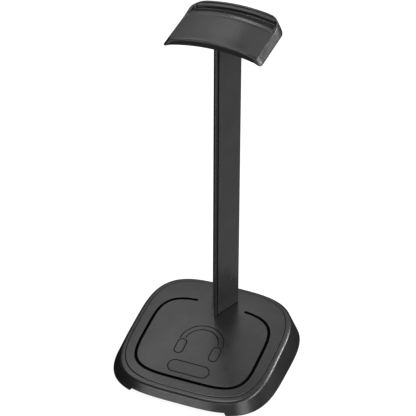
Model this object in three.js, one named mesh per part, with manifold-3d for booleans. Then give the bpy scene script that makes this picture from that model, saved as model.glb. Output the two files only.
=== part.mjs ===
// Desktop headphone stand: a weighted wedge base, a slim straight column and an arched saddle.
// Millimetres. +X is the user's right, +Y points to the back, +Z is up.
// The origin is on the floor, under the middle of the base.
import * as THREE from "three";
import { mergeVertices } from "three/addons/utils/BufferGeometryUtils.js";
import Module from "manifold-3d";

const wasm = await Module();
wasm.setup();

// ---------------------------------------------------------------- driving dimensions
const GAP = 0.3; // clearance between pieces that touch
const WELD = 0.02; // corners closer than this become one after the cuts

// Base cover: a rounded square on the floor, drafted up to a smaller, tilted rim.
const BASE_HALF = 65;
const BASE_POWER = 3.5;
const SKIRT_FOOT = 1.0; // height of the skirt's lower edge over the floor
const RIM_HALF_X = 59.1;
const RIM_HALF_Y = 58.3;
const RIM_Y = -3.2;
const RIM_POWER = 3.6;
const RIM_HEIGHT = 18.05; // at y = 0
const RIM_SLOPE = 0.118; // rise per millimetre towards the back
const RIM_FILLET = 1.4;
const DOME = 5.0; // how far the top bulges over the rim's plane
const STEP_INSET = 4.0;
const STEP_HEIGHT = 0.4;
const BASE_WALL = 2.6;
const RELIEF_HALF = 38.5; // the front and back skirt is lifted between the corner feet
const RELIEF_HEIGHT = 2.2;

// C-shaped slot in the top of the base.
const SLOT_HALF_X = 46.3;
const SLOT_HALF_Y = 39.3;
const SLOT_Y = -10.2;
const SLOT_POWER = 4.15;
const SLOT_WIDTH = 2.0;
const SLOT_DEPTH = 1.5;
const SLOT_END_X = 20.2;

// Engraved line picture (a plain headphone) with a blank capsule under it.
const LINE_WIDTH = 0.6;
const LINE_DEPTH = 0.35;
const ICON_Y = -13.0;
const CAPSULE_Y = -39.2;
const CAPSULE_HALF_X = 16.4;
const CAPSULE_RADIUS = 5.2;

// Column: wedge section with a narrow round nose towards the user.
const NOSE_HALF = 1.25;
const NOSE_Y = 17.3; // where the side faces begin
const NOSE_REACH = 0.75; // straight part of the nose in front of them
const COLUMN_BACK_HALF = 10.86;
const COLUMN_BACK_Y = 38.6;
const COLUMN_WALL = 2.0;
const SHADOW_GAP = 0.8; // between the column and the top of the base
const CORE_HALF = 4.0;
const CORE_Y = 32.1;
const CORE_DEPTH = 5.0;

// Saddle: an arched plate, its underside on a cylinder along Y.
const SADDLE_HALF = 36.9;
const SADDLE_FRONT = 7.2;
const SADDLE_BACK = 58.9;
const SADDLE_CORNER = 11.0; // radius of the back corners
const SADDLE_END_HEIGHT = 270.4; // underside at the two ends
const SADDLE_SAG = 5.5; // how far the arch rises over its ends
const SADDLE_THICK = 6.6;
const END_TAPER = 0.2; // share by which the plate is thinner at its ends, ahead of the channel
const RECESS_INSET = 3.0;
const RECESS_DEPTH = 2.2;
const BRACKET_HALF = 16.0;
const BRACKET_HALF_Y = 8.0;
const BRACKET_Y = 30.0;

// Inside the base.
const PLATE_HALF = 60.3;
const PLATE_BOTTOM = 1.4;
const PLATE_TOP = 3.4;
const FOOT_PAD_AT = 44;
const FOOT_PAD_RADIUS = 6.0;
const FOOT_PAD_HEIGHT = 2.0;
const BALLAST_HEIGHT = 5.0;
const FLANGE_BOTTOM = 17.2;
const FLANGE_TOP = 20.2;
const SEAT_ROOT = 22; // inside the cover's wall, under the column
const SCREW_RADIUS = 1.2;
const PILOT_RADIUS = 1.5;
const HEAD_RADIUS = 2.8;

// ---------------------------------------------------------------- solids
const toSolid = (geometry) => {
  const bare = new THREE.BufferGeometry();
  const source = geometry.index ? geometry.toNonIndexed() : geometry;
  bare.setAttribute("position", source.getAttribute("position"));
  const merged = mergeVertices(bare, 1e-4);
  return new wasm.Manifold(new wasm.Mesh({
    numProp: 3,
    vertProperties: merged.attributes.position.array,
    triVerts: new Uint32Array(merged.index.array),
  }));
};

// The solid's skin with very short edges drawn together into one corner.
const toGeometry = (solid) => {
  const mesh = solid.getMesh();
  const points = Array.from({ length: mesh.vertProperties.length / 3 }, (_, i) =>
    new THREE.Vector3().fromArray(mesh.vertProperties, i * 3));
  const joined = points.map((_, i) => i);
  const corner = (i) => {
    let at = i;
    while (joined[at] !== at) {
      at = joined[at];
    }
    return at;
  };
  const sides = [[0, 1], [1, 2], [2, 0]];
  for (let t = 0; t < mesh.triVerts.length; t += 3) {
    for (const [j, k] of sides) {
      const a = corner(mesh.triVerts[t + j]);
      const b = corner(mesh.triVerts[t + k]);
      if (a !== b && points[a].distanceTo(points[b]) < WELD) {
        joined[Math.max(a, b)] = Math.min(a, b);
      }
    }
  }
  const triangles = [];
  for (let t = 0; t < mesh.triVerts.length; t += 3) {
    const [a, b, c] = [0, 1, 2].map((k) => corner(mesh.triVerts[t + k]));
    if (a !== b && b !== c && c !== a) {
      triangles.push(a, b, c);
    }
  }
  const geometry = indexed(points, triangles);
  const bare = mergeVertices(geometry.toNonIndexed(), 1e-5);
  bare.computeVertexNormals();
  return bare;
};

// A geometry from a list of corner points and triangles between them.
const indexed = (points, triangles) => {
  const geometry = new THREE.BufferGeometry();
  geometry.setAttribute("position",
    new THREE.Float32BufferAttribute(points.flatMap((p) => [p.x, p.y, p.z]), 3));
  geometry.setIndex(triangles);
  return geometry;
};

// A closed skin over rings of equally many points, counter-clockwise from above, lowest ring
// first. Each end is closed by a fan about its middle.
const loft = (rings) => {
  const count = rings[0].length;
  const points = rings.flat();
  const triangles = [];
  for (let r = 0; r + 1 < rings.length; r += 1) {
    for (let i = 0; i < count; i += 1) {
      const a = r * count + i;
      const b = r * count + ((i + 1) % count);
      triangles.push(a, b, b + count, a, b + count, a + count);
    }
  }
  const cap = (ring, first, upwards) => {
    const middle = ring.reduce((sum, p) => sum.add(p), new THREE.Vector3()).divideScalar(count);
    points.push(middle);
    for (let i = 0; i < count; i += 1) {
      const a = first + i;
      const b = first + ((i + 1) % count);
      triangles.push(...(upwards ? [a, b, points.length - 1] : [b, a, points.length - 1]));
    }
  };
  cap(rings[0], 0, false);
  cap(rings.at(-1), (rings.length - 1) * count, true);
  return indexed(points, triangles);
};

// A closed skin between two grids of points with the same rows (along Y) and columns (along X).
const sandwich = (top, bottom) => {
  const rows = top.length;
  const columns = top[0].length;
  const points = [...top.flat(), ...bottom.flat()];
  const under = rows * columns;
  const at = (row, column) => row * columns + column;
  const triangles = [];
  const quad = (a, b, c, d) => triangles.push(a, b, c, a, c, d);
  for (let r = 0; r + 1 < rows; r += 1) {
    for (let c = 0; c + 1 < columns; c += 1) {
      quad(at(r, c), at(r, c + 1), at(r + 1, c + 1), at(r + 1, c));
      quad(under + at(r, c), under + at(r + 1, c), under + at(r + 1, c + 1), under + at(r, c + 1));
    }
    quad(at(r, 0), at(r + 1, 0), under + at(r + 1, 0), under + at(r, 0));
    const last = columns - 1;
    quad(at(r + 1, last), at(r, last), under + at(r, last), under + at(r + 1, last));
  }
  for (let c = 0; c + 1 < columns; c += 1) {
    quad(at(0, c + 1), at(0, c), under + at(0, c), under + at(0, c + 1));
    const last = rows - 1;
    quad(at(last, c), at(last, c + 1), under + at(last, c + 1), under + at(last, c));
  }
  return indexed(points, triangles);
};

const prism = (outline, low, high) => {
  const shape = outline instanceof THREE.Shape ? outline : new THREE.Shape(outline);
  const geometry = new THREE.ExtrudeGeometry(shape,
    { depth: high - low, bevelEnabled: false, curveSegments: 12 });
  return toSolid(geometry.translate(0, 0, low));
};

const box = (x0, x1, y0, y1, z0, z1) => {
  const geometry = new THREE.BoxGeometry(x1 - x0, y1 - y0, z1 - z0);
  return toSolid(geometry.translate((x0 + x1) / 2, (y0 + y1) / 2, (z0 + z1) / 2));
};

const post = (radius, x, y, low, high, sides = 20) => {
  const geometry = new THREE.CylinderGeometry(radius, radius, high - low, sides);
  return toSolid(geometry.rotateX(Math.PI / 2).translate(x, y, (low + high) / 2));
};

// A screw along Z with its head at the bottom.
const uprightScrew = (x, y, headLow, headHigh, tip, headRadius = HEAD_RADIUS) =>
  post(headRadius, x, y, headLow, headHigh)
    .add(post(SCREW_RADIUS, x, y, headHigh - 0.1, tip, 12))
    .subtract(post(headRadius * 0.45, x, y, headLow - 1, headLow + 0.6, 6));

// ---------------------------------------------------------------- base shapes
const OUTLINE_POINTS = 96;

const roundedSquare = (halfX, halfY, power, y, count = OUTLINE_POINTS) => {
  const bend = (v) => Math.sign(v) * Math.abs(v) ** (2 / power);
  return Array.from({ length: count }, (_, i) => {
    const turn = (i / count) * 2 * Math.PI;
    return new THREE.Vector2(halfX * bend(Math.cos(turn)), y + halfY * bend(Math.sin(turn)));
  });
};

const rimPlane = (y) => RIM_HEIGHT + RIM_SLOPE * y;

// How far out a point lies on the top: 0 in its middle, 1 on the rim.
const rimShare = (x, y) =>
  (Math.abs(x / RIM_HALF_X) ** RIM_POWER + Math.abs((y - RIM_Y) / RIM_HALF_Y) ** RIM_POWER)
  ** (1 / RIM_POWER);

const STEP_SHARE = 1 - STEP_INSET / RIM_HALF_X;

const topHeight = (x, y) => {
  const share = rimShare(x, y);
  const step = share < STEP_SHARE ? STEP_HEIGHT : 0;
  return rimPlane(y) + DOME * (1 - share ** 2) + step;
};

const ringAt = (outline, heightOf) => outline.map((p) => new THREE.Vector3(p.x, p.y, heightOf(p)));

const topRing = (share, lift) =>
  ringAt(roundedSquare(RIM_HALF_X * share, RIM_HALF_Y * share, RIM_POWER, RIM_Y),
    (p) => rimPlane(p.y) + DOME * (1 - share ** 2) + lift);

const skirtRings = () => {
  const foot = ringAt(roundedSquare(BASE_HALF, BASE_HALF, BASE_POWER, 0), () => SKIRT_FOOT);
  const rim = topRing(1, 0);
  const filletStart = rim.map((p, i) => {
    const down = foot[i].clone().sub(p);
    return p.clone().addScaledVector(down, RIM_FILLET / down.length());
  });
  const filletEnd = topRing(1 - RIM_FILLET / RIM_HALF_X, 0);
  const arc = [0.33, 0.67].map((t) => rim.map((p, i) => new THREE.Vector3()
    .addScaledVector(filletStart[i], (1 - t) ** 2)
    .addScaledVector(p, 2 * t * (1 - t))
    .addScaledVector(filletEnd[i], t ** 2)));
  return [foot, filletStart, ...arc, filletEnd];
};

const domeShares = [0.85, 0.7, 0.55, 0.4, 0.25, 0.1];

const baseOuter = () => toSolid(loft([
  ...skirtRings(),
  topRing(STEP_SHARE + 0.004, 0),
  topRing(STEP_SHARE - 0.002, STEP_HEIGHT),
  ...domeShares.map((share) => topRing(share, STEP_HEIGHT)),
]));

const baseCavity = () => {
  const inset = BASE_WALL + 0.2;
  const foot = roundedSquare(BASE_HALF - inset, BASE_HALF - inset, BASE_POWER, 0);
  const shoulder = roundedSquare(RIM_HALF_X - inset, RIM_HALF_Y - inset, RIM_POWER, RIM_Y);
  return toSolid(loft([
    ringAt(foot, () => SKIRT_FOOT - 1),
    ringAt(shoulder, (p) => rimPlane(p.y) - BASE_WALL),
    ...domeShares.map((share) => topRing(share, -BASE_WALL)),
  ]));
};

// A groove of rectangular section that follows a path over the top of the base.
const groove = (path, width, depth, closed = false) => {
  const sections = path.map((p, i) => {
    const before = path[i > 0 ? i - 1 : (closed ? path.length - 1 : 0)];
    const after = path[i + 1 < path.length ? i + 1 : (closed ? 0 : i)];
    const side = after.clone().sub(before).normalize().rotateAround(new THREE.Vector2(), Math.PI / 2);
    const z = topHeight(p.x, p.y);
    const corner = (s, height) => new THREE.Vector3(
      p.x + side.x * s * width / 2, p.y + side.y * s * width / 2, z + height);
    return [corner(1, -depth), corner(1, 1), corner(-1, 1), corner(-1, -depth)];
  });
  const points = sections.flat();
  const triangles = [];
  const spans = closed ? sections.length : sections.length - 1;
  for (let s = 0; s < spans; s += 1) {
    for (let k = 0; k < 4; k += 1) {
      const a = s * 4 + k;
      const b = s * 4 + ((k + 1) % 4);
      const next = ((s + 1) % sections.length) * 4;
      const c = next + ((k + 1) % 4);
      const d = next + k;
      triangles.push(a, c, d, a, b, c);
    }
  }
  if (!closed) {
    const end = points.length - 4;
    triangles.push(0, 2, 1, 0, 3, 2, end, end + 1, end + 2, end, end + 2, end + 3);
  }
  return toSolid(indexed(points, triangles));
};

// The C-slot runs from one side of the column round the front to the other side.
const slotPath = () => {
  const bend = (v) => Math.sign(v) * Math.abs(v) ** (2 / SLOT_POWER);
  const endTurn = Math.acos((SLOT_END_X / SLOT_HALF_X) ** (SLOT_POWER / 2));
  const steps = 64;
  return Array.from({ length: steps + 1 }, (_, i) => {
    const turn = endTurn - (i / steps) * (Math.PI + 2 * endTurn);
    return new THREE.Vector2(
      SLOT_HALF_X * bend(Math.cos(turn)), SLOT_Y + SLOT_HALF_Y * bend(Math.sin(turn)));
  });
};

const arcPoints = (x, y, radius, from, to, steps) =>
  Array.from({ length: steps + 1 }, (_, i) => {
    const turn = THREE.MathUtils.degToRad(from + ((to - from) * i) / steps);
    return new THREE.Vector2(x + radius * Math.cos(turn), y + radius * Math.sin(turn));
  });

const stadium = (x, y, halfX, halfY) => {
  const radius = Math.min(halfX, halfY);
  const alongX = halfX - radius;
  const alongY = halfY - radius;
  return [
    ...arcPoints(x + alongX, y + alongY, radius, 0, 90, 6),
    ...arcPoints(x - alongX, y + alongY, radius, 90, 180, 6),
    ...arcPoints(x - alongX, y - alongY, radius, 180, 270, 6),
    ...arcPoints(x + alongX, y - alongY, radius, 270, 360, 6),
  ].filter((p, i, all) => p.distanceTo(all[(i + 1) % all.length]) > 0.01);
};

// A plain headphone: two arcs for the headband and an upright ear cup at each end of them.
const engraving = () => [
  groove(arcPoints(0, ICON_Y, 17, 0, 180, 24), LINE_WIDTH, LINE_DEPTH),
  groove(arcPoints(0, ICON_Y, 13, 5, 175, 20), LINE_WIDTH, LINE_DEPTH),
  groove(stadium(-14, ICON_Y - 7.6, 3.4, 7), LINE_WIDTH, LINE_DEPTH, true),
  groove(stadium(14, ICON_Y - 7.6, 3.4, 7), LINE_WIDTH, LINE_DEPTH, true),
  groove(stadium(0, CAPSULE_Y, CAPSULE_HALF_X, CAPSULE_RADIUS), LINE_WIDTH, LINE_DEPTH, true),
];

// ---------------------------------------------------------------- column shapes
const WEDGE = (COLUMN_BACK_HALF - NOSE_HALF) / (COLUMN_BACK_Y - NOSE_Y);
const columnHalf = (y) => NOSE_HALF + WEDGE * (y - NOSE_Y);
// Width in X that a wall of the given thickness takes on a slanted side face.
const acrossSide = (thickness) => thickness * Math.hypot(1, WEDGE);
const NOSE_TIP = NOSE_Y - NOSE_REACH - NOSE_HALF;

const columnOutline = () => {
  const shape = new THREE.Shape();
  shape.moveTo(COLUMN_BACK_HALF, COLUMN_BACK_Y);
  shape.lineTo(-COLUMN_BACK_HALF, COLUMN_BACK_Y);
  shape.lineTo(-NOSE_HALF, NOSE_Y);
  shape.lineTo(-NOSE_HALF, NOSE_Y - NOSE_REACH);
  shape.absarc(0, NOSE_Y - NOSE_REACH, NOSE_HALF, Math.PI, 2 * Math.PI, false);
  shape.lineTo(NOSE_HALF, NOSE_Y);
  shape.closePath();
  return shape;
};

// The part of the wedge between two depths, drawn in from the side faces.
const wedgeSlice = (front, back, drawnIn) => [
  new THREE.Vector2(columnHalf(front) - drawnIn, front),
  new THREE.Vector2(columnHalf(back) - drawnIn, back),
  new THREE.Vector2(-columnHalf(back) + drawnIn, back),
  new THREE.Vector2(-columnHalf(front) + drawnIn, front),
];

// Everything under the slanted plane on which the column ends, just over the base.
const belowColumn = () => {
  const clear = SHADOW_GAP + STEP_HEIGHT;
  const front = rimPlane(NOSE_TIP) + DOME * (1 - rimShare(0, NOSE_TIP) ** 2) + clear;
  const back = rimPlane(COLUMN_BACK_Y) + DOME * (1 - rimShare(0, COLUMN_BACK_Y) ** 2) + clear;
  const slope = (back - front) / (COLUMN_BACK_Y - NOSE_TIP);
  const reach = 40;
  const side = [
    new THREE.Vector3(0, NOSE_TIP - reach, front - slope * reach),
    new THREE.Vector3(0, COLUMN_BACK_Y + reach, back + slope * reach),
  ];
  const wide = 80;
  const top = side.map((p) => [-wide, wide].map((x) => new THREE.Vector3(x, p.y, p.z)));
  const bottom = side.map((p) => [-wide, wide].map((x) => new THREE.Vector3(x, p.y, -50)));
  return toSolid(sandwich(top, bottom));
};

// ---------------------------------------------------------------- saddle shapes
const ARCH_RADIUS = (SADDLE_HALF ** 2 + SADDLE_SAG ** 2) / (2 * SADDLE_SAG);
const archHeight = (x) =>
  SADDLE_END_HEIGHT + Math.sqrt(ARCH_RADIUS ** 2 - x ** 2) - (ARCH_RADIUS - SADDLE_SAG);

// Half the width of the saddle's plan, inset from its edge, at a depth y.
const saddleHalf = (y, inset = 0) => {
  const radius = SADDLE_CORNER - inset;
  const into = Math.max(0, y - (SADDLE_BACK - SADDLE_CORNER));
  return SADDLE_HALF - SADDLE_CORNER + Math.sqrt(Math.max(0, radius ** 2 - into ** 2));
};

// A plate that follows the arch, between two heights over it.
const archPlate = (halfWidth, depths, low, high, columns = 25) => {
  const grid = (lift) => depths.map((y) => Array.from({ length: columns }, (_, i) => {
    const x = halfWidth(y) * ((2 * i) / (columns - 1) - 1);
    return new THREE.Vector3(x, y, archHeight(x) + lift);
  }));
  return toSolid(sandwich(grid(high), grid(low)));
};

const cornerDepths = (front, back, radius, steps = 8) => [
  front,
  ...Array.from({ length: steps + 1 }, (_, i) =>
    back - radius + radius * Math.sin((i / steps) * (Math.PI / 2))),
];

// Rows of the saddle's top from the front to the back: depth behind the front of the underside,
// height of the edge as a share of the full thickness, and relief inside the border.
const saddleRows = [
  [-1.1, 0.6, 0],
  [-1.0, 0.82, 0],
  [-0.4, 0.93, 0],
  [0.8, 0.95, 0],
  [5.5, 0.95, -0.15],
  [11, 0.95, -0.3],
  [20, 0.95, -0.3],
  [32.6, 0.95, -0.35],
  [33.8, 0.95, -0.62],
  [35.2, 0.97, 0.2],
  [36.0, 0.98, 0.5],
  [36.8, 0.99, 0.1],
  [38.6, 1, -1.5],
  [44.4, 1, -3.2],
  [45.6, 1, -3.3],
  [46.2, 1, -1.6],
  [46.7, 1, -0.95],
  [48.6, 1, -0.9],
  [49.2, 1, 0.1],
  [50.8, 1, 0.4],
  [51.4, 0.97, 0.1],
  [SADDLE_BACK - SADDLE_FRONT, 0.8, 0],
].map(([depth, edge, relief]) => ({ y: SADDLE_FRONT + depth, edge, relief }));
const CHANNEL_FROM = SADDLE_FRONT + 33.5;
const CHANNEL_TO = SADDLE_FRONT + 45;

// Columns of the saddle's top, as the distance in from its end with the height there as a share
// of the full thickness, and how much of the relief shows.
const saddleEnd = [
  { inset: 0, height: 0.06, inner: 0 },
  { inset: 0.5, height: 0.22, inner: 0 },
  { inset: 1.5, height: 0.5, inner: 0 },
  { inset: 2.6, height: 0.81, inner: 0 },
  { inset: 3.3, height: 1, inner: 0 },
  { inset: 4.6, height: 1, inner: 0.1 },
  { inset: 6.0, height: 1, inner: 1 },
];

const saddleOuter = () => {
  const middle = 13;
  const columns = [
    ...saddleEnd.map((end) => ({ ...end, side: -1 })),
    ...Array.from({ length: middle }, (_, i) => ({ along: (2 * (i + 1)) / (middle + 1) - 1 })),
    ...saddleEnd.map((end) => ({ ...end, side: 1 })).reverse(),
  ];
  const innermost = saddleEnd.at(-1).inset;
  const xOf = (column, half) => (column.side
    ? column.side * (half - column.inset)
    : column.along * (half - innermost));
  const top = saddleRows.map((row) => columns.map((column) => {
    const x = xOf(column, saddleHalf(Math.max(row.y, SADDLE_FRONT)));
    const height = column.side ? column.height : 1;
    const inner = column.side ? column.inner : 1;
    const y = row.y < SADDLE_FRONT ? SADDLE_FRONT + (row.y - SADDLE_FRONT) * height : row.y;
    const ahead = 1 - THREE.MathUtils.smoothstep(row.y, CHANNEL_FROM, CHANNEL_TO);
    const thick = SADDLE_THICK * (1 - END_TAPER * ahead * (x / SADDLE_HALF) ** 2);
    return new THREE.Vector3(x, y, archHeight(x) + thick * height * row.edge + row.relief * inner);
  }));
  const bottom = saddleRows.map((row) => columns.map((column) => {
    const y = Math.max(row.y, SADDLE_FRONT) + (row.y < SADDLE_FRONT + 1 ? 0.01 * row.edge : 0);
    const x = xOf(column, saddleHalf(y));
    return new THREE.Vector3(x, y, archHeight(x));
  }));
  return toSolid(sandwich(top, bottom));
};

// ---------------------------------------------------------------- materials
const material = (color, roughness, metalness) =>
  new THREE.MeshStandardMaterial({ color, roughness, metalness });
const shellPlastic = material(0x3c3c3e, 0.42, 0);
const innerPlastic = material(0x242426, 0.6, 0);
const blackRubber = material(0x161617, 0.85, 0);
const zincSteel = material(0x8d9094, 0.4, 0.9);
const screwSteel = material(0x5b5d60, 0.35, 0.95);

const stand = new THREE.Group();
const add = (name, solid, look) => {
  const mesh = new THREE.Mesh(toGeometry(solid), look);
  mesh.name = name;
  stand.add(mesh);
};

// ---------------------------------------------------------------- places
const bottomScrews = [[-52, -26], [52, -26], [-52, 26], [52, 26]];
const flangeScrews = [[-15, 22], [15, 22], [-15, 42], [15, 42]];
const rubberFeet = [[-1, -1], [1, -1], [-1, 1], [1, 1]].map(([sx, sy]) =>
  [sx * FOOT_PAD_AT, sy * FOOT_PAD_AT]);
const backScrewHeights = [60, 150, 240];
const saddleScrews = [[-12, BRACKET_Y], [12, BRACKET_Y]];

// ---------------------------------------------------------------- base
const baseCover = () => {
  const seatFront = NOSE_Y + 1.5;
  const seat = prism(wedgeSlice(seatFront, COLUMN_BACK_Y - 1, acrossSide(1)),
    SEAT_ROOT, topHeight(0, seatFront) + SHADOW_GAP - GAP);
  let cover = baseOuter().subtract(baseCavity()).add(seat);
  for (const [x, y] of bottomScrews) {
    cover = cover.add(post(4, x, y, PLATE_TOP + GAP, topHeight(x, y) - 1.3));
    cover = cover.subtract(post(PILOT_RADIUS, x, y, PLATE_TOP, 10, 12));
  }
  for (const [x, y] of flangeScrews) {
    cover = cover.add(post(3.2, x, y, FLANGE_TOP + GAP, topHeight(x, y) - 1.3));
    cover = cover.subtract(post(PILOT_RADIUS, x, y, FLANGE_TOP, 23, 12));
  }
  cover = cover.subtract(box(-CORE_HALF - GAP, CORE_HALF + GAP,
    CORE_Y - CORE_DEPTH / 2 - GAP, CORE_Y + CORE_DEPTH / 2 + GAP, 15, 40));
  for (const [front, back] of [[-BASE_HALF - 5, -50], [50, BASE_HALF + 5]]) {
    cover = cover.subtract(box(-RELIEF_HALF, RELIEF_HALF, front, back, 0,
      SKIRT_FOOT + RELIEF_HEIGHT));
  }
  cover = cover.subtract(groove(slotPath(), SLOT_WIDTH, SLOT_DEPTH));
  for (const line of engraving()) {
    cover = cover.subtract(line);
  }
  return cover;
};

const bottomPlate = () => {
  let plate = prism(roundedSquare(PLATE_HALF, PLATE_HALF, BASE_POWER, 0), PLATE_BOTTOM, PLATE_TOP);
  for (const [x, y] of bottomScrews) {
    plate = plate.subtract(post(PILOT_RADIUS, x, y, 0, PLATE_TOP + 1, 12));
    plate = plate.subtract(post(HEAD_RADIUS + GAP, x, y, 0, 2.5));
  }
  for (const [x, y] of rubberFeet) {
    plate = plate.subtract(post(FOOT_PAD_RADIUS + GAP, x, y, 0, FOOT_PAD_HEIGHT + GAP, 28));
  }
  return plate;
};

const ballast = () => {
  const low = PLATE_TOP + GAP;
  return prism(roundedSquare(44, 46, 8, -2, 64), low, low + BALLAST_HEIGHT);
};

add("base_cover", baseCover(), shellPlastic);
add("bottom_plate", bottomPlate(), innerPlastic);
add("ballast_plate", ballast(), zincSteel);
bottomScrews.forEach(([x, y], i) =>
  add(`bottom_screw_${i + 1}`, uprightScrew(x, y, 1.5, 2.2, 9), screwSteel));
rubberFeet.forEach(([x, y], i) =>
  add(`rubber_foot_${i + 1}`, post(FOOT_PAD_RADIUS, x, y, 0, FOOT_PAD_HEIGHT, 28), blackRubber));

// ---------------------------------------------------------------- column
const footFlange = () => {
  let flange = box(-20, 20, 17, 47, FLANGE_BOTTOM, FLANGE_TOP);
  for (const [x, y] of flangeScrews) {
    flange = flange.subtract(post(SCREW_RADIUS + GAP, x, y, FLANGE_BOTTOM - 1, FLANGE_TOP + 1, 12));
  }
  return flange;
};

const core = () => {
  let bar = box(-CORE_HALF, CORE_HALF, CORE_Y - CORE_DEPTH / 2, CORE_Y + CORE_DEPTH / 2,
    FLANGE_TOP + GAP, archHeight(CORE_HALF) - 2 * GAP);
  for (const z of backScrewHeights) {
    bar = bar.subtract(alongY(PILOT_RADIUS, z, CORE_Y + 0.2, CORE_Y + 5, 12));
  }
  return bar;
};

// A cylinder along Y in the middle of the column.
function alongY(radius, z, from, to, sides = 20) {
  const geometry = new THREE.CylinderGeometry(radius, radius, to - from, sides);
  return toSolid(geometry.translate(0, (from + to) / 2, z));
}

const underSaddle = () => archPlate(() => SADDLE_HALF + 5, [-20, 80], -GAP, 60);
const trimColumn = (solid) => solid.subtract(belowColumn()).subtract(underSaddle());
const COLUMN_TOP = 285;

const frontCover = () => {
  const hollow = prism(wedgeSlice(NOSE_Y + 4.7, COLUMN_BACK_Y + 1, acrossSide(COLUMN_WALL)),
    0, COLUMN_TOP + 5);
  return trimColumn(prism(columnOutline(), 5, COLUMN_TOP).subtract(hollow));
};

const backCover = () => {
  let plate = trimColumn(prism(wedgeSlice(COLUMN_BACK_Y - COLUMN_WALL, COLUMN_BACK_Y,
    acrossSide(COLUMN_WALL + GAP)), 5, COLUMN_TOP));
  for (const z of backScrewHeights) {
    plate = plate.subtract(alongY(SCREW_RADIUS + GAP, z, COLUMN_BACK_Y - 5, COLUMN_BACK_Y + 1, 12));
    plate = plate.subtract(alongY(HEAD_RADIUS + GAP, z, COLUMN_BACK_Y - 1.1, COLUMN_BACK_Y + 1));
  }
  return plate;
};

const backScrew = (z) => alongY(HEAD_RADIUS, z, COLUMN_BACK_Y - 0.8, COLUMN_BACK_Y - 0.1)
  .add(alongY(SCREW_RADIUS, z, CORE_Y + 0.6, COLUMN_BACK_Y - 0.7, 12))
  .subtract(alongY(HEAD_RADIUS * 0.45, z, COLUMN_BACK_Y - 0.5, COLUMN_BACK_Y + 1, 6));

add("column_foot_flange", footFlange(), zincSteel);
flangeScrews.forEach(([x, y], i) =>
  add(`flange_screw_${i + 1}`, uprightScrew(x, y, 15.2, 16.9, 22.6), screwSteel));
add("column_core", core(), zincSteel);
add("column_front_cover", frontCover(), shellPlastic);
add("column_back_cover", backCover(), shellPlastic);
backScrewHeights.forEach((z, i) => add(`back_screw_${i + 1}`, backScrew(z), screwSteel));

// ---------------------------------------------------------------- saddle
const recessFront = SADDLE_FRONT + RECESS_INSET;
const recessBack = SADDLE_BACK - RECESS_INSET;

const saddleTop = () => {
  let top = saddleOuter().subtract(archPlate((y) => saddleHalf(y, RECESS_INSET),
    cornerDepths(recessFront, recessBack, SADDLE_CORNER - RECESS_INSET), -1, RECESS_DEPTH));
  for (const [x, y] of saddleScrews) {
    top = top.subtract(post(PILOT_RADIUS, x, y, archHeight(0) - 5, archHeight(0) + 3.3, 12));
  }
  return top;
};

const underCover = () => {
  const inset = RECESS_INSET + GAP;
  const plate = archPlate((y) => saddleHalf(y, inset),
    cornerDepths(recessFront + GAP, recessBack - GAP, SADDLE_CORNER - inset),
    0, RECESS_DEPTH - GAP);
  return plate.subtract(box(-BRACKET_HALF - GAP, BRACKET_HALF + GAP,
    BRACKET_Y - BRACKET_HALF_Y - GAP, BRACKET_Y + BRACKET_HALF_Y + GAP, 200, 300));
};

const saddleBracket = () => {
  let plate = archPlate(() => BRACKET_HALF,
    [BRACKET_Y - BRACKET_HALF_Y, BRACKET_Y + BRACKET_HALF_Y], 0, RECESS_DEPTH - GAP, 17);
  for (const [x, y] of saddleScrews) {
    plate = plate.subtract(post(SCREW_RADIUS + GAP, x, y, 200, 300, 12));
  }
  return plate;
};

const saddleScrewHead = archHeight(saddleScrews[1][0] + HEAD_RADIUS) - GAP;

add("saddle_top", saddleTop(), shellPlastic);
add("saddle_under_cover", underCover(), innerPlastic);
add("saddle_bracket", saddleBracket(), zincSteel);
saddleScrews.forEach(([x, y], i) => add(`saddle_screw_${i + 1}`,
  uprightScrew(x, y, saddleScrewHead - 1.6, saddleScrewHead, archHeight(0) + 3), screwSteel));

export default stand;
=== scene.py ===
"""The finished looks of a desktop headphone stand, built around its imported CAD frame.

Everything is in metres. +X is the user's right, +Y points to the back and +Z is up. The origin is
on the floor, under the middle of the base.
"""

import math

import bmesh
import bpy
import numpy as np
from mathutils import Matrix, Vector
from mathutils.geometry import delaunay_2d_cdt


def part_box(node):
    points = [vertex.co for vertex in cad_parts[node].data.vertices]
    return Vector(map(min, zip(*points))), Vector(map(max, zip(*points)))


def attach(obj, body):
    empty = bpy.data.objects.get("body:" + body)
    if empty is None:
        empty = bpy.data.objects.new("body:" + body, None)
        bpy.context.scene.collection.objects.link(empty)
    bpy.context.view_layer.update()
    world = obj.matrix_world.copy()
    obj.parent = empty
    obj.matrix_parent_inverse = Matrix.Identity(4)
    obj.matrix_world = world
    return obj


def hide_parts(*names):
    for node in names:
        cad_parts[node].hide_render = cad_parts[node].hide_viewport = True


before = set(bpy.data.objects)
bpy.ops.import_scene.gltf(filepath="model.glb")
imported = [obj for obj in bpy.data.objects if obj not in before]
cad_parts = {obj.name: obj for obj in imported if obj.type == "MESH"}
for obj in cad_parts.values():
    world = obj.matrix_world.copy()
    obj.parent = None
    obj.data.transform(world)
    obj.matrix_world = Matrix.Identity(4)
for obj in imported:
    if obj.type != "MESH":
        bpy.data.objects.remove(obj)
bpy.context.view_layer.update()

MM = 0.001
FULL_TURN = 2 * math.pi


# ------------------------------------------------------------------ driving dimensions
def reach(node, axis, end):
    """Where a CAD node begins (end 0) or ends (end 1) along an axis."""
    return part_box(node)[end]["XYZ".index(axis)]


GAP = 0.3 * MM  # between pieces that touch

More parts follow.
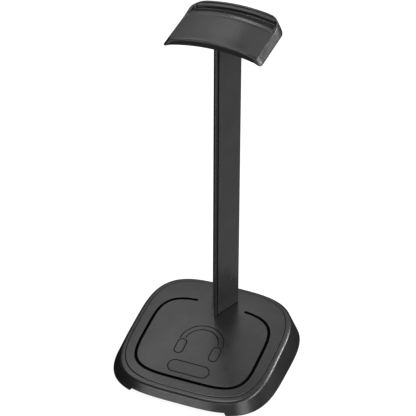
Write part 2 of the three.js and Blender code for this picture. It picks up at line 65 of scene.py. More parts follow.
# Base cover: a rounded square on the floor, drafted up to a smaller, tilted rim.
BASE_HALF = reach("base_cover", "X", 1)
BASE_POWER = 3.5
SKIRT_FOOT = reach("base_cover", "Z", 0)
RIM_HALF_X = 59.1 * MM
RIM_HALF_Y = 58.3 * MM
RIM_Y = -3.2 * MM
RIM_POWER = 3.6
RIM_HEIGHT = 18.05 * MM
RIM_SLOPE = 0.118
RIM_FILLET = 1.9 * MM
DOME = 5.0 * MM
STEP_INSET = 4.0 * MM
STEP_HEIGHT = 0.4 * MM
BASE_WALL = 2.6 * MM
SHOULDER_SHARE = 0.94  # how far out the hollow's ceiling meets its side
RELIEF_HALF = 38.5 * MM
RELIEF_HEIGHT = 2.2 * MM
RELIEF_INNER = 0.5 * MM  # the raised stretches run out between these distances
RELIEF_OUTER = 0.3 * MM
RELIEF_FROM_Y = 50 * MM  # only the front and the back of the skirt are raised

SLOT_HALF_X = 46.3 * MM
SLOT_HALF_Y = 39.3 * MM
SLOT_Y = -10.2 * MM
SLOT_POWER = 4.15
SLOT_END_X = 20.2 * MM

ICON_Y = -13.0 * MM
CAPSULE_Y = -39.2 * MM
CAPSULE_HALF_X = 16.4 * MM
CAPSULE_RADIUS = 5.2 * MM

# Column: a wedge section with a narrow round bead towards the user.
NOSE_HALF = 1.25 * MM
NOSE_Y = 17.3 * MM
NOSE_TIP = reach("column_front_cover", "Y", 0)
BEAD_HALF = 0.9 * MM
BEAD_CORNER = 0.45 * MM
BEAD_GROOVE = 0.25 * MM  # width of the grooves' bottom beside the bead
NOSE_SOLID = 4.7 * MM  # from the nose to the front of the hollow
BEAD_FOOT = 18.4 * MM  # bottom of the grooves beside the bead
PANEL_FRONT = 17.8 * MM  # where the flat sides begin
COLUMN_BACK_HALF = reach("column_front_cover", "X", 1)
COLUMN_BACK_Y = reach("column_front_cover", "Y", 1)
COLUMN_WALL = 2.0 * MM
SHADOW_GAP = 0.8 * MM

# Saddle: an arched plate, its underside on a cylinder along Y.
SADDLE_HALF = reach("saddle_top", "X", 1)
SADDLE_FRONT = 7.2 * MM
SADDLE_BACK = reach("saddle_top", "Y", 1)
SADDLE_CORNER = 11.0 * MM
SADDLE_END_HEIGHT = reach("saddle_top", "Z", 0)
SADDLE_SAG = 5.5 * MM
SADDLE_THICK = 6.6 * MM
RECESS_INSET = 3.0 * MM
RECESS_DEPTH = 2.2 * MM

SCREW_POCKET = 3.1 * MM  # radius of the pocket round a sunk screw head
SCREW_POCKET_DEPTH = 1.1 * MM
FOOT_POCKET = 6.3 * MM  # radius of the pocket round a rubber foot
FOOT_POCKET_DEPTH = 0.9 * MM
LABEL_HALF_X = 26 * MM
LABEL_HALF_Y = 14 * MM
LABEL_CORNER = 2 * MM

PLATE_HALF = reach("bottom_plate", "X", 1)
PLATE_BOTTOM = reach("bottom_plate", "Z", 0)
PLATE_TOP = reach("bottom_plate", "Z", 1)


# ------------------------------------------------------------------ flat outlines
def superellipse(half_x, half_y, power, middle_y, turns):
    across, along = np.cos(turns), np.sin(turns)
    return np.column_stack([
        half_x * np.sign(across) * np.abs(across) ** (2 / power),
        middle_y + half_y * np.sign(along) * np.abs(along) ** (2 / power),
    ])


def spaced(points, step, closed=True):
    """The same line with its points an even step apart."""
    points = np.asarray(points, float)
    path = np.vstack([points, points[:1]]) if closed else points
    along = np.concatenate([[0], np.cumsum(np.linalg.norm(np.diff(path, axis=0), axis=1))])
    count = max(6, round(along[-1] / step))
    wanted = np.linspace(0, along[-1], count + (not closed), endpoint=not closed)
    return np.column_stack([np.interp(wanted, along, path[:, k]) for k in (0, 1)])


def even_turns(half, power, count):
    """Turns of a superellipse that lie evenly along its outline."""
    fine = np.linspace(0, FULL_TURN, 20001)
    outline = superellipse(half, half, power, 0, fine)
    along = np.concatenate([[0], np.cumsum(np.linalg.norm(np.diff(outline, axis=0), axis=1))])
    return np.interp(np.linspace(0, along[-1], count, endpoint=False), along, fine)


def arc(x, y, radius, start, stop, steps):
    turns = np.radians(np.linspace(start, stop, steps + 1))
    return np.column_stack([x + radius * np.cos(turns), y + radius * np.sin(turns)])


def stadium(x, y, half_x, half_y, step):
    radius = min(half_x, half_y)
    dx, dy = half_x - radius, half_y - radius
    corners = [(dx, dy, 0), (-dx, dy, 90), (-dx, -dy, 180), (dx, -dy, 270)]
    return spaced(np.vstack([
        arc(x + cx, y + cy, radius, turn, turn + 90, 24) for cx, cy, turn in corners]), step)


def rounded(corners, steps=6):
    """A closed outline from corners (x, y, radius), each one rounded by its radius."""
    points = []
    for i, (x, y, radius) in enumerate(corners):
        here = Vector((x, y))
        before = (Vector(corners[i - 1][:2]) - here).normalized()
        after = (Vector(corners[(i + 1) % len(corners)][:2]) - here).normalized()
        if radius == 0:
            points.append(here)
            continue
        half = before.angle(after) / 2
        start, stop = here + before * radius / math.tan(half), here + after * radius / math.tan(half)
        centre = here + (before + after).normalized() * radius / math.sin(half)
        for t in np.linspace(0, 1, steps + 1):
            spoke = ((start - centre) * (1 - t) + (stop - centre) * t).normalized()
            points.append(centre + spoke * radius)
    return np.array([tuple(p) for p in points])


def outward(outline):
    """The outward unit normal at each point of a closed counter-clockwise outline."""
    before = outline - np.roll(outline, 1, axis=0)
    after = np.roll(outline, -1, axis=0) - outline
    tangent = (before / np.linalg.norm(before, axis=1)[:, None]
               + after / np.linalg.norm(after, axis=1)[:, None])
    tangent /= np.linalg.norm(tangent, axis=1)[:, None]
    return np.column_stack([tangent[:, 1], -tangent[:, 0]])


def inset(outline, by):
    return outline - outward(outline) * by


def around(path, offset, cap_steps=7):
    """A closed line at one distance all round an open path, with round ends."""
    tangent = np.gradient(path, axis=0)
    tangent /= np.linalg.norm(tangent, axis=1)[:, None]
    side = np.column_stack([-tangent[:, 1], tangent[:, 0]]) * offset

    def cap(centre, spoke):
        turns = -np.linspace(0, math.pi, cap_steps + 2)[1:-1]
        return np.column_stack([
            centre[0] + spoke[0] * np.cos(turns) - spoke[1] * np.sin(turns),
            centre[1] + spoke[0] * np.sin(turns) + spoke[1] * np.cos(turns)])

    return np.vstack([path + side, cap(path[-1], side[-1]),
                      (path - side)[::-1], cap(path[0], -side[0])])


# A groove's section, in millimetres: distance from its middle, and depth there.
SLOT_SECTION = [(1.5, 0), (1.3, 0), (1.22, 0.03), (1.17, 0.12), (1.13, 1.35), (1.0, 1.5)]
LINE_SECTION = [(0.52, 0), (0.45, 0), (0.38, 0.06), (0.32, 0.28), (0.16, 0.4)]
# Faces deeper than these get painted shade: the dark line colour, and the slot's near-black colour.
LINE_DEPTH = 0.04 * MM  # what is deeper is an engraved line
SLOT_DEPTH = 0.4 * MM  # what is deeper is the slot


def groove(path, section, closed):
    """A feature for triangulated(): closed lines with the depth of each."""
    lines = []
    for offset, depth in section:
        if closed:
            lines.append((inset(path, offset * MM), depth * MM))
            lines.append((inset(path, -offset * MM), depth * MM))
        else:
            lines.append((around(path, offset * MM), depth * MM))
    return {"lines": lines, "path": path, "clear": section[0][0] * MM}


def pocket(outline, depth, lip=0.15 * MM):
    """A feature for triangulated(): a flat-bottomed pocket with a softened mouth."""
    lines = [(inset(outline, -2 * lip), 0), (inset(outline, -lip), 0),
             (inset(outline, -lip * 0.3), lip * 0.3), (outline, lip),
             (inset(outline, 0.02 * MM), depth - lip * 0.5), (inset(outline, lip * 0.6), depth)]
    return {"lines": lines, "path": outline, "clear": 2.5 * lip}


def rise(outline, height, lip=0.1 * MM):
    """A feature for triangulated(): a low flat island."""
    lines = [(inset(outline, -2 * lip), 0), (inset(outline, -0.3 * lip), 0),
             (outline, -height + lip), (inset(outline, lip), -height)]
    return {"lines": lines, "path": outline, "clear": 3 * lip, "floor": -height}


def inside(points, outline):
    """Which points lie inside a closed outline."""
    x, y = points[:, :1], points[:, 1:]
    x0, y0 = outline[:, 0], outline[:, 1]
    x1, y1 = np.roll(x0, -1), np.roll(y0, -1)
    crosses = (y0 > y) != (y1 > y)
    with np.errstate(divide="ignore", invalid="ignore"):
        at = x0 + (y - y0) / (y1 - y0) * (x1 - x0)
    return (crosses & (x < at)).sum(axis=1) % 2 == 1


def fill_points(outline, step):
    """Points in a staggered pattern inside an outline."""
    low, high = outline.min(axis=0), outline.max(axis=0)
    rows = []
    for k, y in enumerate(np.arange(low[1], high[1], step * 0.87)):
        xs = np.arange(low[0] + (k % 2) * step / 2, high[0], step)
        rows.append(np.column_stack([xs, np.full(len(xs), y)]))
    points = np.vstack(rows)
    points = points[inside(points, outline)]
    near = np.linalg.norm(points[:, None] - outline[None], axis=2).min(axis=1)
    return points[near > step * 0.5]


def triangulated(outline, features=(), fill=()):
    """Triangles over a flat outline with an edge along every line of every feature.

    Gives the flat points, the depth of each and the triangles.
    """
    fill = np.asarray(fill, float).reshape(-1, 2)
    fill_depth = np.zeros(len(fill))
    for feature in features:
        if len(fill) == 0:
            break
        near = np.linalg.norm(fill[:, None] - feature["path"][None], axis=2).min(axis=1)
        keep = near > feature["clear"] + 0.5 * MM
        fill, fill_depth = fill[keep], fill_depth[keep]
        if "floor" in feature and len(fill):
            fill_depth[inside(fill, feature["path"])] = feature["floor"]
    lines = [(outline, 0.0)] + [line for feature in features for line in feature["lines"]]
    points = np.vstack([line for line, _ in lines] + [fill])
    depths = np.concatenate([np.full(len(line), depth) for line, depth in lines] + [fill_depth])
    edges, first = [], 0
    for line, _ in lines:
        count = len(line)
        edges += [(first + i, first + (i + 1) % count) for i in range(count)]
        first += count
    found, _, faces, origin, _, _ = delaunay_2d_cdt(
        [Vector(p / MM) for p in points], edges, [], 1, 1e-5)
    flat = np.array([tuple(p) for p in found]) * MM
    depth = np.array([depths[o[0]] if o else 0.0 for o in origin])
    return flat, depth, [tuple(f) for f in faces]


# ------------------------------------------------------------------ meshes
class Build:
    """Collects points and faces of one closed piece."""

    def __init__(self):
        self.points = []
        self.faces = []
        self.looks = []

    def add(self, points, faces, looks=None):
        """Adds points and faces, with the place of each face's material in the piece's list."""
        first = len(self.points)
        self.points += [tuple(p) for p in points]
        self.faces += [tuple(first + i for i in face) for face in faces]
        self.looks += [0] * len(faces) if looks is None else list(looks)

    def rings(self, rings):
        """A skin over closed rings of equally many points."""
        count = len(rings[0])
        faces = [(r * count + i, r * count + (i + 1) % count,
                  (r + 1) * count + (i + 1) % count, (r + 1) * count + i)
                 for r in range(len(rings) - 1) for i in range(count)]
        self.add(np.vstack(rings), faces)

    def panel(self, outline, place, features=(), fill=(), look=None):
        """A triangulated panel, put in space by place(flat points, depths)."""
        flat, depth, faces = triangulated(outline, features, fill)
        corners = np.array(faces)
        looks = look(flat[corners].mean(axis=1), depth[corners].max(axis=1)) if look else None
        self.add(place(flat, depth), faces, looks)


def edge_wear(bm):
    """How sharply each point sticks out, from 0 on flat and hollow surfaces to 1 on an edge."""
    full = math.radians(25)
    wear = np.zeros(len(bm.verts))
    for edge in bm.edges:
        if len(edge.link_faces) == 2:
            bend = edge.calc_face_angle_signed(0.0)
            for vert in edge.verts:
                wear[vert.index] = max(wear[vert.index], min(1.0, bend / full))
    return wear


def finished(name, build, materials, replaces, sharp=32):
    """Welds, smooths and links one piece into the scene, hiding the CAD part it replaces."""
    mesh = bpy.data.meshes.new(name)
    bm = bmesh.new()
    verts = [bm.verts.new(p) for p in build.points]
    for face, look in zip(build.faces, build.looks):
        bm.faces.new([verts[i] for i in face]).material_index = look
    bmesh.ops.remove_doubles(bm, verts=bm.verts, dist=0.002 * MM)
    bmesh.ops.recalc_face_normals(bm, faces=bm.faces)
    bm.verts.index_update()
    loose = sum(1 for edge in bm.edges if len(edge.link_faces) != 2)
    if loose:
        print(f"{name}: {loose} open edges")
    wear = edge_wear(bm)
    bm.to_mesh(mesh)
    bm.free()
    mesh.attributes.new("edge_wear", "FLOAT", "POINT").data.foreach_set("value", wear)
    mesh.shade_smooth()
    mesh.set_sharp_from_angle(angle=math.radians(sharp))
    for material in materials:
        mesh.materials.append(material)
    piece = bpy.data.objects.new(name, mesh)
    bpy.context.scene.collection.objects.link(piece)
    weighted = piece.modifiers.new("weighted_normals", "WEIGHTED_NORMAL")
    weighted.keep_sharp = True
    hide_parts(replaces)
    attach(piece, "root")


def lathe(build, profile, place, sides=48):
    """A turned skin: profile is (radius, height) from one end of the axis to the other."""
    turns = np.linspace(0, FULL_TURN, sides, endpoint=False)
    build.rings([place(np.column_stack([
        r * np.cos(turns), r * np.sin(turns), np.full(sides, z)])) for r, z in profile])


def slab(outline, place, thickness, features=(), holes=(), edge=0.25 * MM, fill_step=3 * MM):
    """A closed plate with softened edges. place(flat points, heights) puts it in space."""
    build = Build()
    fill = fill_points(outline, fill_step)

    def face(level, cuts):
        mouths = [inset(hole, -edge) for hole in holes]
        gaps = [{"lines": [(mouth, 0)], "path": mouth, "clear": edge} for mouth in mouths]
        flat, depth, faces = triangulated(inset(outline, edge), list(cuts) + gaps, fill)
        centres = np.array([flat[list(f)].mean(axis=0) for f in faces])
        solid = np.ones(len(faces), bool)
        for mouth in mouths:
            solid &= ~inside(centres, mouth)
        build.add(place(flat, level - depth), [f for f, keep in zip(faces, solid) if keep])

    face(thickness, features)
    face(0, ())
    soft = edge * 0.3
    sides = [(edge, thickness), (soft, thickness - soft), (0, thickness - edge),
             (0, edge), (soft, soft), (edge, 0)]
    for line, way in [(outline, 1)] + [(hole, -1) for hole in holes]:
        build.rings([place(inset(line, way * shift), np.full(len(line), height))
                     for shift, height in sides])
    return build


def circle(x, y, radius, sides=40):
    return arc(x, y, radius, 0, 360, sides)[:-1]


# ------------------------------------------------------------------ materials
def new_material(name, base, roughness, metallic=0.0):
    material = bpy.data.materials.new(name)
    material.use_nodes = True
    shader = material.node_tree.nodes["Principled BSDF"]
    shader.inputs["Base Color"].default_value = (*base, 1)
    shader.inputs["Roughness"].default_value = roughness
    shader.inputs["Metallic"].default_value = metallic
    return material, material.node_tree, shader


def node(tree, kind, **values):
    made = tree.nodes.new(kind)
    for key, value in values.items():
        if key in made.inputs:
            made.inputs[key].default_value = value
        else:
            setattr(made, key, value)
    return made


def noise(tree, size, detail=2.0, stretch=(1, 1, 1)):
    """Noise with features of about this size, fixed to the object."""
    where = node(tree, "ShaderNodeTexCoord")
    mapping = node(tree, "ShaderNodeMapping")
    mapping.inputs["Scale"].default_value = stretch
    made = node(tree, "ShaderNodeTexNoise", Scale=1 / size, Detail=detail)
    tree.links.new(where.outputs["Object"], mapping.inputs["Vector"])
    tree.links.new(mapping.outputs["Vector"], made.inputs["Vector"])
    return made.outputs["Fac"]


def ranged(tree, value, low, high, start=0.3, stop=0.7):
    made = node(tree, "ShaderNodeMapRange")
    made.inputs["From Min"].default_value = start
    made.inputs["From Max"].default_value = stop
    made.inputs["To Min"].default_value = low
    made.inputs["To Max"].default_value = high
    tree.links.new(value, made.inputs["Value"])
    return made.outputs["Result"]


def mixed(tree, share, first, second):
    """A colour between two, either of which may be a socket."""
    made = node(tree, "ShaderNodeMix", data_type="RGBA")
    tree.links.new(share, made.inputs["Factor"])
    for name, colour in (("A", first), ("B", second)):
        socket = [s for s in made.inputs if s.name == name and s.type == "RGBA"][0]
        if isinstance(colour, tuple):
            socket.default_value = (*colour, 1)
        else:
            tree.links.new(colour, socket)
    return [s for s in made.outputs if s.type == "RGBA"][0]


def product(tree, first, second):
    made = node(tree, "ShaderNodeMath", operation="MULTIPLY")
    tree.links.new(first, made.inputs[0])
    tree.links.new(second, made.inputs[1])
    return made.outputs["Value"]


def bump(tree, shader, height, depth, strength=1.0, after=None):
    made = node(tree, "ShaderNodeBump", Strength=strength, Distance=depth)
    tree.links.new(height, made.inputs["Height"])
    if after is not None:
        tree.links.new(after, made.inputs["Normal"])
    tree.links.new(made.outputs["Normal"], shader.inputs["Normal"])
    return made.outputs["Normal"]


def moulded_plastic(name, dark, light, worn, roughness, grain, grain_depth, specular):
    """Moulded plastic: fine grain, cloudy colour and roughness, and rubbed edges."""
    material, tree, shader = new_material(name, light, roughness)
    shader.inputs["Specular IOR Level"].default_value = specular
    cloudy = mixed(tree, ranged(tree, noise(tree, 24 * MM, 4), 0, 1), dark, light)
    worn_share = product(
        tree,
        node(tree, "ShaderNodeAttribute", attribute_name="edge_wear").outputs["Fac"],
        ranged(tree, noise(tree, 1.6 * MM, 5), 0, 0.6, 0.4, 0.62))
    tree.links.new(mixed(tree, worn_share, cloudy, worn), shader.inputs["Base Color"])
    tree.links.new(
        ranged(tree, noise(tree, 9 * MM, 5), roughness - 0.03, roughness + 0.04),
        shader.inputs["Roughness"])
    fine = bump(tree, shader, noise(tree, grain, 3), grain_depth, 0.6)
    bump(tree, shader, noise(tree, 14 * MM, 1), 0.02 * MM, 0.25, after=fine)
    return material


def rubber(name, dark, light):
    material, tree, shader = new_material(name, light, 0.8)
    tree.links.new(mixed(tree, ranged(tree, noise(tree, 3 * MM, 6), 0, 1), dark, light),
                   shader.inputs["Base Color"])
    shader.inputs["Sheen Weight"].default_value = 0.15
    bump(tree, shader, noise(tree, 0.35 * MM, 4), 0.05 * MM, 0.7)
    return material


def steel(name, dark, light, roughness, stretch):
    """Plated steel with fine lengthwise scratches and cloudy plating."""
    material, tree, shader = new_material(name, light, roughness, 1.0)
    tree.links.new(mixed(tree, ranged(tree, noise(tree, 6 * MM, 6), 0, 1), dark, light),
                   shader.inputs["Base Color"])
    scratches = noise(tree, 0.5 * MM, 4, stretch)
    tree.links.new(ranged(tree, scratches, roughness - 0.08, roughness + 0.12),
                   shader.inputs["Roughness"])
    bump(tree, shader, scratches, 0.01 * MM, 0.5)
    return material


shell_plastic = moulded_plastic("satin_shell_plastic", (0.010, 0.010, 0.0105), (0.014, 0.014, 0.0145),
                                (0.035, 0.035, 0.036), 0.30, 0.4 * MM, 0.012 * MM, 0.5)
inner_plastic = moulded_plastic("matt_inner_plastic", (0.011, 0.011, 0.012), (0.016, 0.016, 0.017),
                                (0.035, 0.035, 0.036), 0.55, 0.6 * MM, 0.03 * MM, 0.4)
# Near-black colour for the slot's deep faces: painted shade for the dark inside the groove.
slot_painted_shade = moulded_plastic("slot_painted_shade", (0.001, 0.001, 0.001), (0.002, 0.002, 0.002),
                             (0.004, 0.004, 0.004), 0.9, 0.4 * MM, 0.02 * MM, 0.05)
# Very dark colour for engraved lines, the step line and the base under the column: painted shade in
# creases and in the shadow gap under the column.
line_painted_shade = moulded_plastic("line_painted_shade", (0.003, 0.003, 0.003), (0.005, 0.005, 0.005),
                             (0.01, 0.01, 0.01), 0.7, 0.4 * MM, 0.02 * MM, 0.15)
foot_rubber = rubber("black_foot_rubber", (0.008, 0.008, 0.008), (0.014, 0.014, 0.014))
plated_steel = steel("zinc_plated_steel", (0.42, 0.43, 0.44), (0.55, 0.56, 0.58), 0.36, (1, 1, 0.05))
screw_steel = steel("blackened_screw_steel", (0.07, 0.07, 0.075), (0.12, 0.12, 0.125), 0.38, (1, 1, 1))


# ------------------------------------------------------------------ base
def rim_plane(y):
    return RIM_HEIGHT + RIM_SLOPE * y


def rim_share(x, y):
    """How far out a point lies on the top: 0 in its middle, 1 on the rim."""
    return ((np.abs(x / RIM_HALF_X) ** RIM_POWER + np.abs((y - RIM_Y) / RIM_HALF_Y) ** RIM_POWER)
            ** (1 / RIM_POWER))


# The step line: shares of the way out across it, and the top's rise at each.
STEP_SHARE = 1 - STEP_INSET / RIM_HALF_X
STEP_LINE_END = 0.0095
STEP_SHARES = STEP_SHARE + np.array([-0.007, -0.004, -0.002, 0, 0.002, 0.008, STEP_LINE_END, 0.012])
STEP_RISES = STEP_HEIGHT * np.array([1, 1, 0.93, 0.3, -0.5, -0.5, 0, 0])


def top_height(x, y):
    share = rim_share(x, y)
    return rim_plane(y) + DOME * (1 - share ** 2) + np.interp(share, STEP_SHARES, STEP_RISES)


def top_outline(share, turns):
    return superellipse(RIM_HALF_X * share, RIM_HALF_Y * share, RIM_POWER, RIM_Y, turns)


def space(flat, heights):
    return np.column_stack([flat, heights])


def slot_path():
    end_turn = math.acos((SLOT_END_X / SLOT_HALF_X) ** (SLOT_POWER / 2))
    turns = np.linspace(end_turn, -math.pi - end_turn, 4000)
    return spaced(superellipse(SLOT_HALF_X, SLOT_HALF_Y, SLOT_POWER, SLOT_Y, turns),
                  0.8 * MM, closed=False)


def engraving():
    """A plain headphone: two arcs and two ear cups, with an empty capsule under it."""
    step = 0.4 * MM
    arcs = [spaced(arc(0, ICON_Y, radius * MM, start, 180 - start, 90), step, closed=False)
            for radius, start in ((17, 0), (13, 5))]
    cups = [stadium(side * 14 * MM, ICON_Y - 7.6 * MM, 3.4 * MM, 7 * MM, step) for side in (-1, 1)]
    capsule = stadium(0, CAPSULE_Y, CAPSULE_HALF_X, CAPSULE_RADIUS, step)
    return ([groove(path, LINE_SECTION, False) for path in arcs]
            + [groove(path, LINE_SECTION, True) for path in [*cups, capsule]])


WEDGE = (COLUMN_BACK_HALF - NOSE_HALF) / (COLUMN_BACK_Y - NOSE_Y)


def column_half(y):
    return NOSE_HALF + WEDGE * (y - NOSE_Y)


def across_side(thickness):
    return thickness * math.hypot(1, WEDGE)


def wedge_slice(front, back, drawn_in, radius):
    return rounded([
        (column_half(front) - drawn_in, front, radius),
        (column_half(back) - drawn_in, back, radius),
        (-column_half(back) + drawn_in, back, radius),
        (-column_half(front) + drawn_in, front, radius),
    ])


def skirt_turns():
    """Even turns, with close pairs where the raised stretches of the skirt begin."""
    turns = list(even_turns(BASE_HALF, BASE_POWER, 400))
    for x in (RELIEF_HALF - RELIEF_INNER, RELIEF_HALF - 0.1 * MM, RELIEF_HALF + RELIEF_OUTER):
        turn = math.acos((x / BASE_HALF) ** (BASE_POWER / 2))
        turns += [turn, math.pi - turn, math.pi + turn, FULL_TURN - turn]
    return np.array(sorted(turns))


def base_cover():
    build = Build()
    turns = skirt_turns()
    foot_flat = superellipse(BASE_HALF, BASE_HALF, BASE_POWER, 0, turns)
    rim_flat = top_outline(1, turns)
    rim = space(rim_flat, rim_plane(rim_flat[:, 1]))
    foot = space(foot_flat, np.full(len(turns), SKIRT_FOOT))
    raised = np.interp(np.abs(foot_flat[:, 0]),
                       [RELIEF_HALF - RELIEF_INNER, RELIEF_HALF + RELIEF_OUTER],
                       [1, 0]) * (np.abs(foot_flat[:, 1]) > RELIEF_FROM_Y)
    up = ((rim - foot).T * raised * RELIEF_HEIGHT / (rim[:, 2] - foot[:, 2])).T
    low = foot + up
    draft = (rim - low) / np.linalg.norm(rim - low, axis=1)[:, None]
    fillet_start = rim - draft * RIM_FILLET
    fillet_end_flat = top_outline(1 - RIM_FILLET / RIM_HALF_X, turns)
    fillet_end = space(fillet_end_flat, top_height(*fillet_end_flat.T))
    wall = BASE_WALL + 0.2 * MM
    inner_low = space(inset(foot_flat, wall), low[:, 2])
    shoulder_flat = inset(rim_flat, wall)
    shoulder = space(shoulder_flat, rim_plane(shoulder_flat[:, 1]) - BASE_WALL)
    lip = 0.35 * MM
    build.rings([
        shoulder,
        inner_low,
        space(inset(low[:, :2], lip), low[:, 2]),
        space(inset(low[:, :2], lip * 0.3), low[:, 2] + lip * 0.3),
        low + draft * lip,
        *[low + draft * lip + (fillet_start - low - draft * lip) * t
          for t in (0.02, 0.2, 0.4, 0.6, 0.8, 0.97)],
        *[fillet_start * (1 - t) ** 2 + rim * 2 * t * (1 - t) + fillet_end * t ** 2
          for t in np.linspace(0, 1, 9)],
    ])
    ring_features = [
        {"lines": [(top_outline(share, turns), 0)], "path": top_outline(share, turns),
         "clear": 0.3 * MM} for share in STEP_SHARES]
    seat = rise(wedge_slice(NOSE_Y + 1.5 * MM, COLUMN_BACK_Y - MM, across_side(MM), 0.5 * MM),
                SHADOW_GAP - GAP)
    # The base under the column takes the dark line colour: painted shade for the shadow gap under the
    # column.
    under_column = spaced(wedge_slice(NOSE_Y - 0.8 * MM, COLUMN_BACK_Y, 0.1 * MM, 0.2 * MM),
                          0.8 * MM)
    shaded = {"lines": [(under_column, 0)], "path": under_column, "clear": 0.3 * MM}
    features = [*ring_features, groove(slot_path(), SLOT_SECTION, False), *engraving(), seat,
                shaded]

    # Faces in the slot, in the engraved lines, on the step line and under the column get dark colours:
    # painted shade in recesses and gaps.
    def look(centres, depths):
        from_step = rim_share(*centres.T) - STEP_SHARE
        line = ((depths > LINE_DEPTH) | ((from_step > 0) & (from_step < STEP_LINE_END))
                | inside(centres, under_column))
        return np.where(depths > SLOT_DEPTH, 1, np.where(line, 2, 0))

    build.panel(fillet_end_flat, lambda flat, depth: space(flat, top_height(*flat.T) - depth),
                features, fill_points(fillet_end_flat, 2.2 * MM), look)
    build.panel(shoulder_flat,
                lambda flat, depth: space(flat, top_height(*flat.T) - BASE_WALL
                                          - (top_height(*flat.T) - rim_plane(flat[:, 1]))
                                          * (rim_share(*flat.T) > SHOULDER_SHARE)),
                fill=fill_points(shoulder_flat, 6 * MM))
    finished("base_shell", build, [shell_plastic, slot_painted_shade, line_painted_shade],
             "base_cover")


def centre_of(name):
    low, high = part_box(name)
    return (low + high) / 2


def bottom_plate():
    outline = spaced(superellipse(PLATE_HALF, PLATE_HALF, BASE_POWER, 0,
                                  even_turns(PLATE_HALF, BASE_POWER, 400)), 1.2 * MM)
    features = []
    for i in range(1, 5):
        x, y, _ = centre_of(f"bottom_screw_{i}")
        features.append(pocket(circle(x, y, SCREW_POCKET), SCREW_POCKET_DEPTH))
        x, y, _ = centre_of(f"rubber_foot_{i}")
        features.append(pocket(circle(x, y, FOOT_POCKET, 56), FOOT_POCKET_DEPTH))
    rim_line = spaced(superellipse(PLATE_HALF - 6 * MM, PLATE_HALF - 6 * MM, BASE_POWER, 0,
                                   even_turns(PLATE_HALF, BASE_POWER, 400)), 1.2 * MM)
    label = rounded([(LABEL_HALF_X * across, LABEL_HALF_Y * up, LABEL_CORNER)
                     for across, up in ((1, -1), (1, 1), (-1, 1), (-1, -1))])
    features += [groove(rim_line, LINE_SECTION, True), pocket(label, 0.35 * MM, 0.1 * MM)]
    build = slab(outline, lambda flat, height: space(flat, PLATE_TOP - height),
                 PLATE_TOP - PLATE_BOTTOM, features, edge=0.4 * MM, fill_step=5 * MM)
    finished("underside_plate", build, [inner_plastic], "bottom_plate")


def rubber_feet():
    for i in range(1, 5):
        name = f"rubber_foot_{i}"
        low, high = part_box(name)
        x, y, _ = (low + high) / 2
        radius, top = (high.x - low.x) / 2, high.z
        profile = [(1e-7, low.z), (1.0 * MM, low.z)]
        for ring in (1.2, 2.4, 3.6):
            start = ring * MM
            profile += [(start, low.z), (start + 0.15 * MM, low.z + 0.25 * MM),
                        (start + 0.45 * MM, low.z + 0.25 * MM), (start + 0.6 * MM, low.z)]
        edge = 0.6 * MM
        profile += [(radius - edge, low.z), (radius - edge * 0.3, low.z + edge * 0.15),
                    (radius - edge * 0.05, low.z + edge * 0.5), (radius, low.z + edge),
                    (radius, top - 0.1 * MM), (radius - 0.1 * MM, top), (1e-7, top)]
        build = Build()
        lathe(build, profile, lambda p, x=x, y=y: p + np.array([x, y, 0]), 56)
        finished(f"foot_pad_{i}", build, [foot_rubber], name)


# ------------------------------------------------------------------ screws
def screw(name, axis, head_height):
    """A socket-head screw along a CAD screw's axis: "-Z" or "+Y" is the way its head faces."""
    low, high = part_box(name)
    middle = (low + high) / 2
    head_radius = (high.x - low.x) / 2
    if axis == "-Z":
        length = high.z - low.z
        spin = Matrix.Rotation(math.pi, 4, "X")
        start = Vector((middle.x, middle.y, low.z))
    else:
        length = high.y - low.y
        spin = Matrix.Rotation(-math.pi / 2, 4, "X")
        start = Vector((middle.x, high.y, middle.z))
    turn = np.array(spin.to_3x3())

    def place(points):
        return points @ turn.T + np.array(start)

    edge = 0.2 * MM
    rim = circle(0, 0, head_radius, 48)
    hexagon = rounded([(*tuple(p), 0.08 * MM) for p in circle(0, 0, head_radius * 0.45, 6)], 2)
    build = Build()
    build.panel(inset(rim, edge), lambda flat, depth: place(space(flat, -depth)),
                [pocket(hexagon, 0.45 * MM, 0.06 * MM)])
    sides = 48
    shaft, pitch, thread = 1.2 * MM, 0.8 * MM, 0.14 * MM
    profile = [(head_radius - edge, 0), (head_radius - edge * 0.3, -edge * 0.3),
               (head_radius, -edge), (head_radius, -head_height + edge / 2),
               (head_radius - edge / 2, -head_height), (shaft, -head_height)]
    lathe(build, profile, place, sides)
    turns = np.linspace(0, FULL_TURN, sides, endpoint=False)
    rings = []
    threads_from, tip = -head_height, -length
    for z in np.arange(threads_from, tip + pitch, -pitch / 5):
        wave = 2 * np.abs(((z / pitch + turns / FULL_TURN) % 1) - 0.5)
        fade = min(1, (threads_from - z) / pitch)
        radius = shaft - thread * fade * wave
        rings.append(place(np.column_stack([
            radius * np.cos(turns), radius * np.sin(turns), np.full(sides, z)])))
    for radius, z in ((shaft * 0.75, tip + pitch * 0.6), (shaft * 0.45, tip), (1e-7, tip)):
        rings.append(place(np.column_stack([
            radius * np.cos(turns), radius * np.sin(turns), np.full(sides, z)])))
    build.rings(rings)
    finished(name + "_steel", build, [screw_steel], name)


# ------------------------------------------------------------------ column
def column_low(y):
    """The slanted plane on which the column ends, a shadow gap over the base."""
    clear = SHADOW_GAP + STEP_HEIGHT
    ends = [rim_plane(at) + DOME * (1 - rim_share(0, at) ** 2) + clear
            for at in (NOSE_TIP, COLUMN_BACK_Y)]
    return ends[0] + (ends[1] - ends[0]) * (y - NOSE_TIP) / (COLUMN_BACK_Y - NOSE_TIP)


ARCH_RADIUS = (SADDLE_HALF ** 2 + SADDLE_SAG ** 2) / (2 * SADDLE_SAG)


def arch_height(x):
    return SADDLE_END_HEIGHT + np.sqrt(ARCH_RADIUS ** 2 - x ** 2) - (ARCH_RADIUS - SADDLE_SAG)


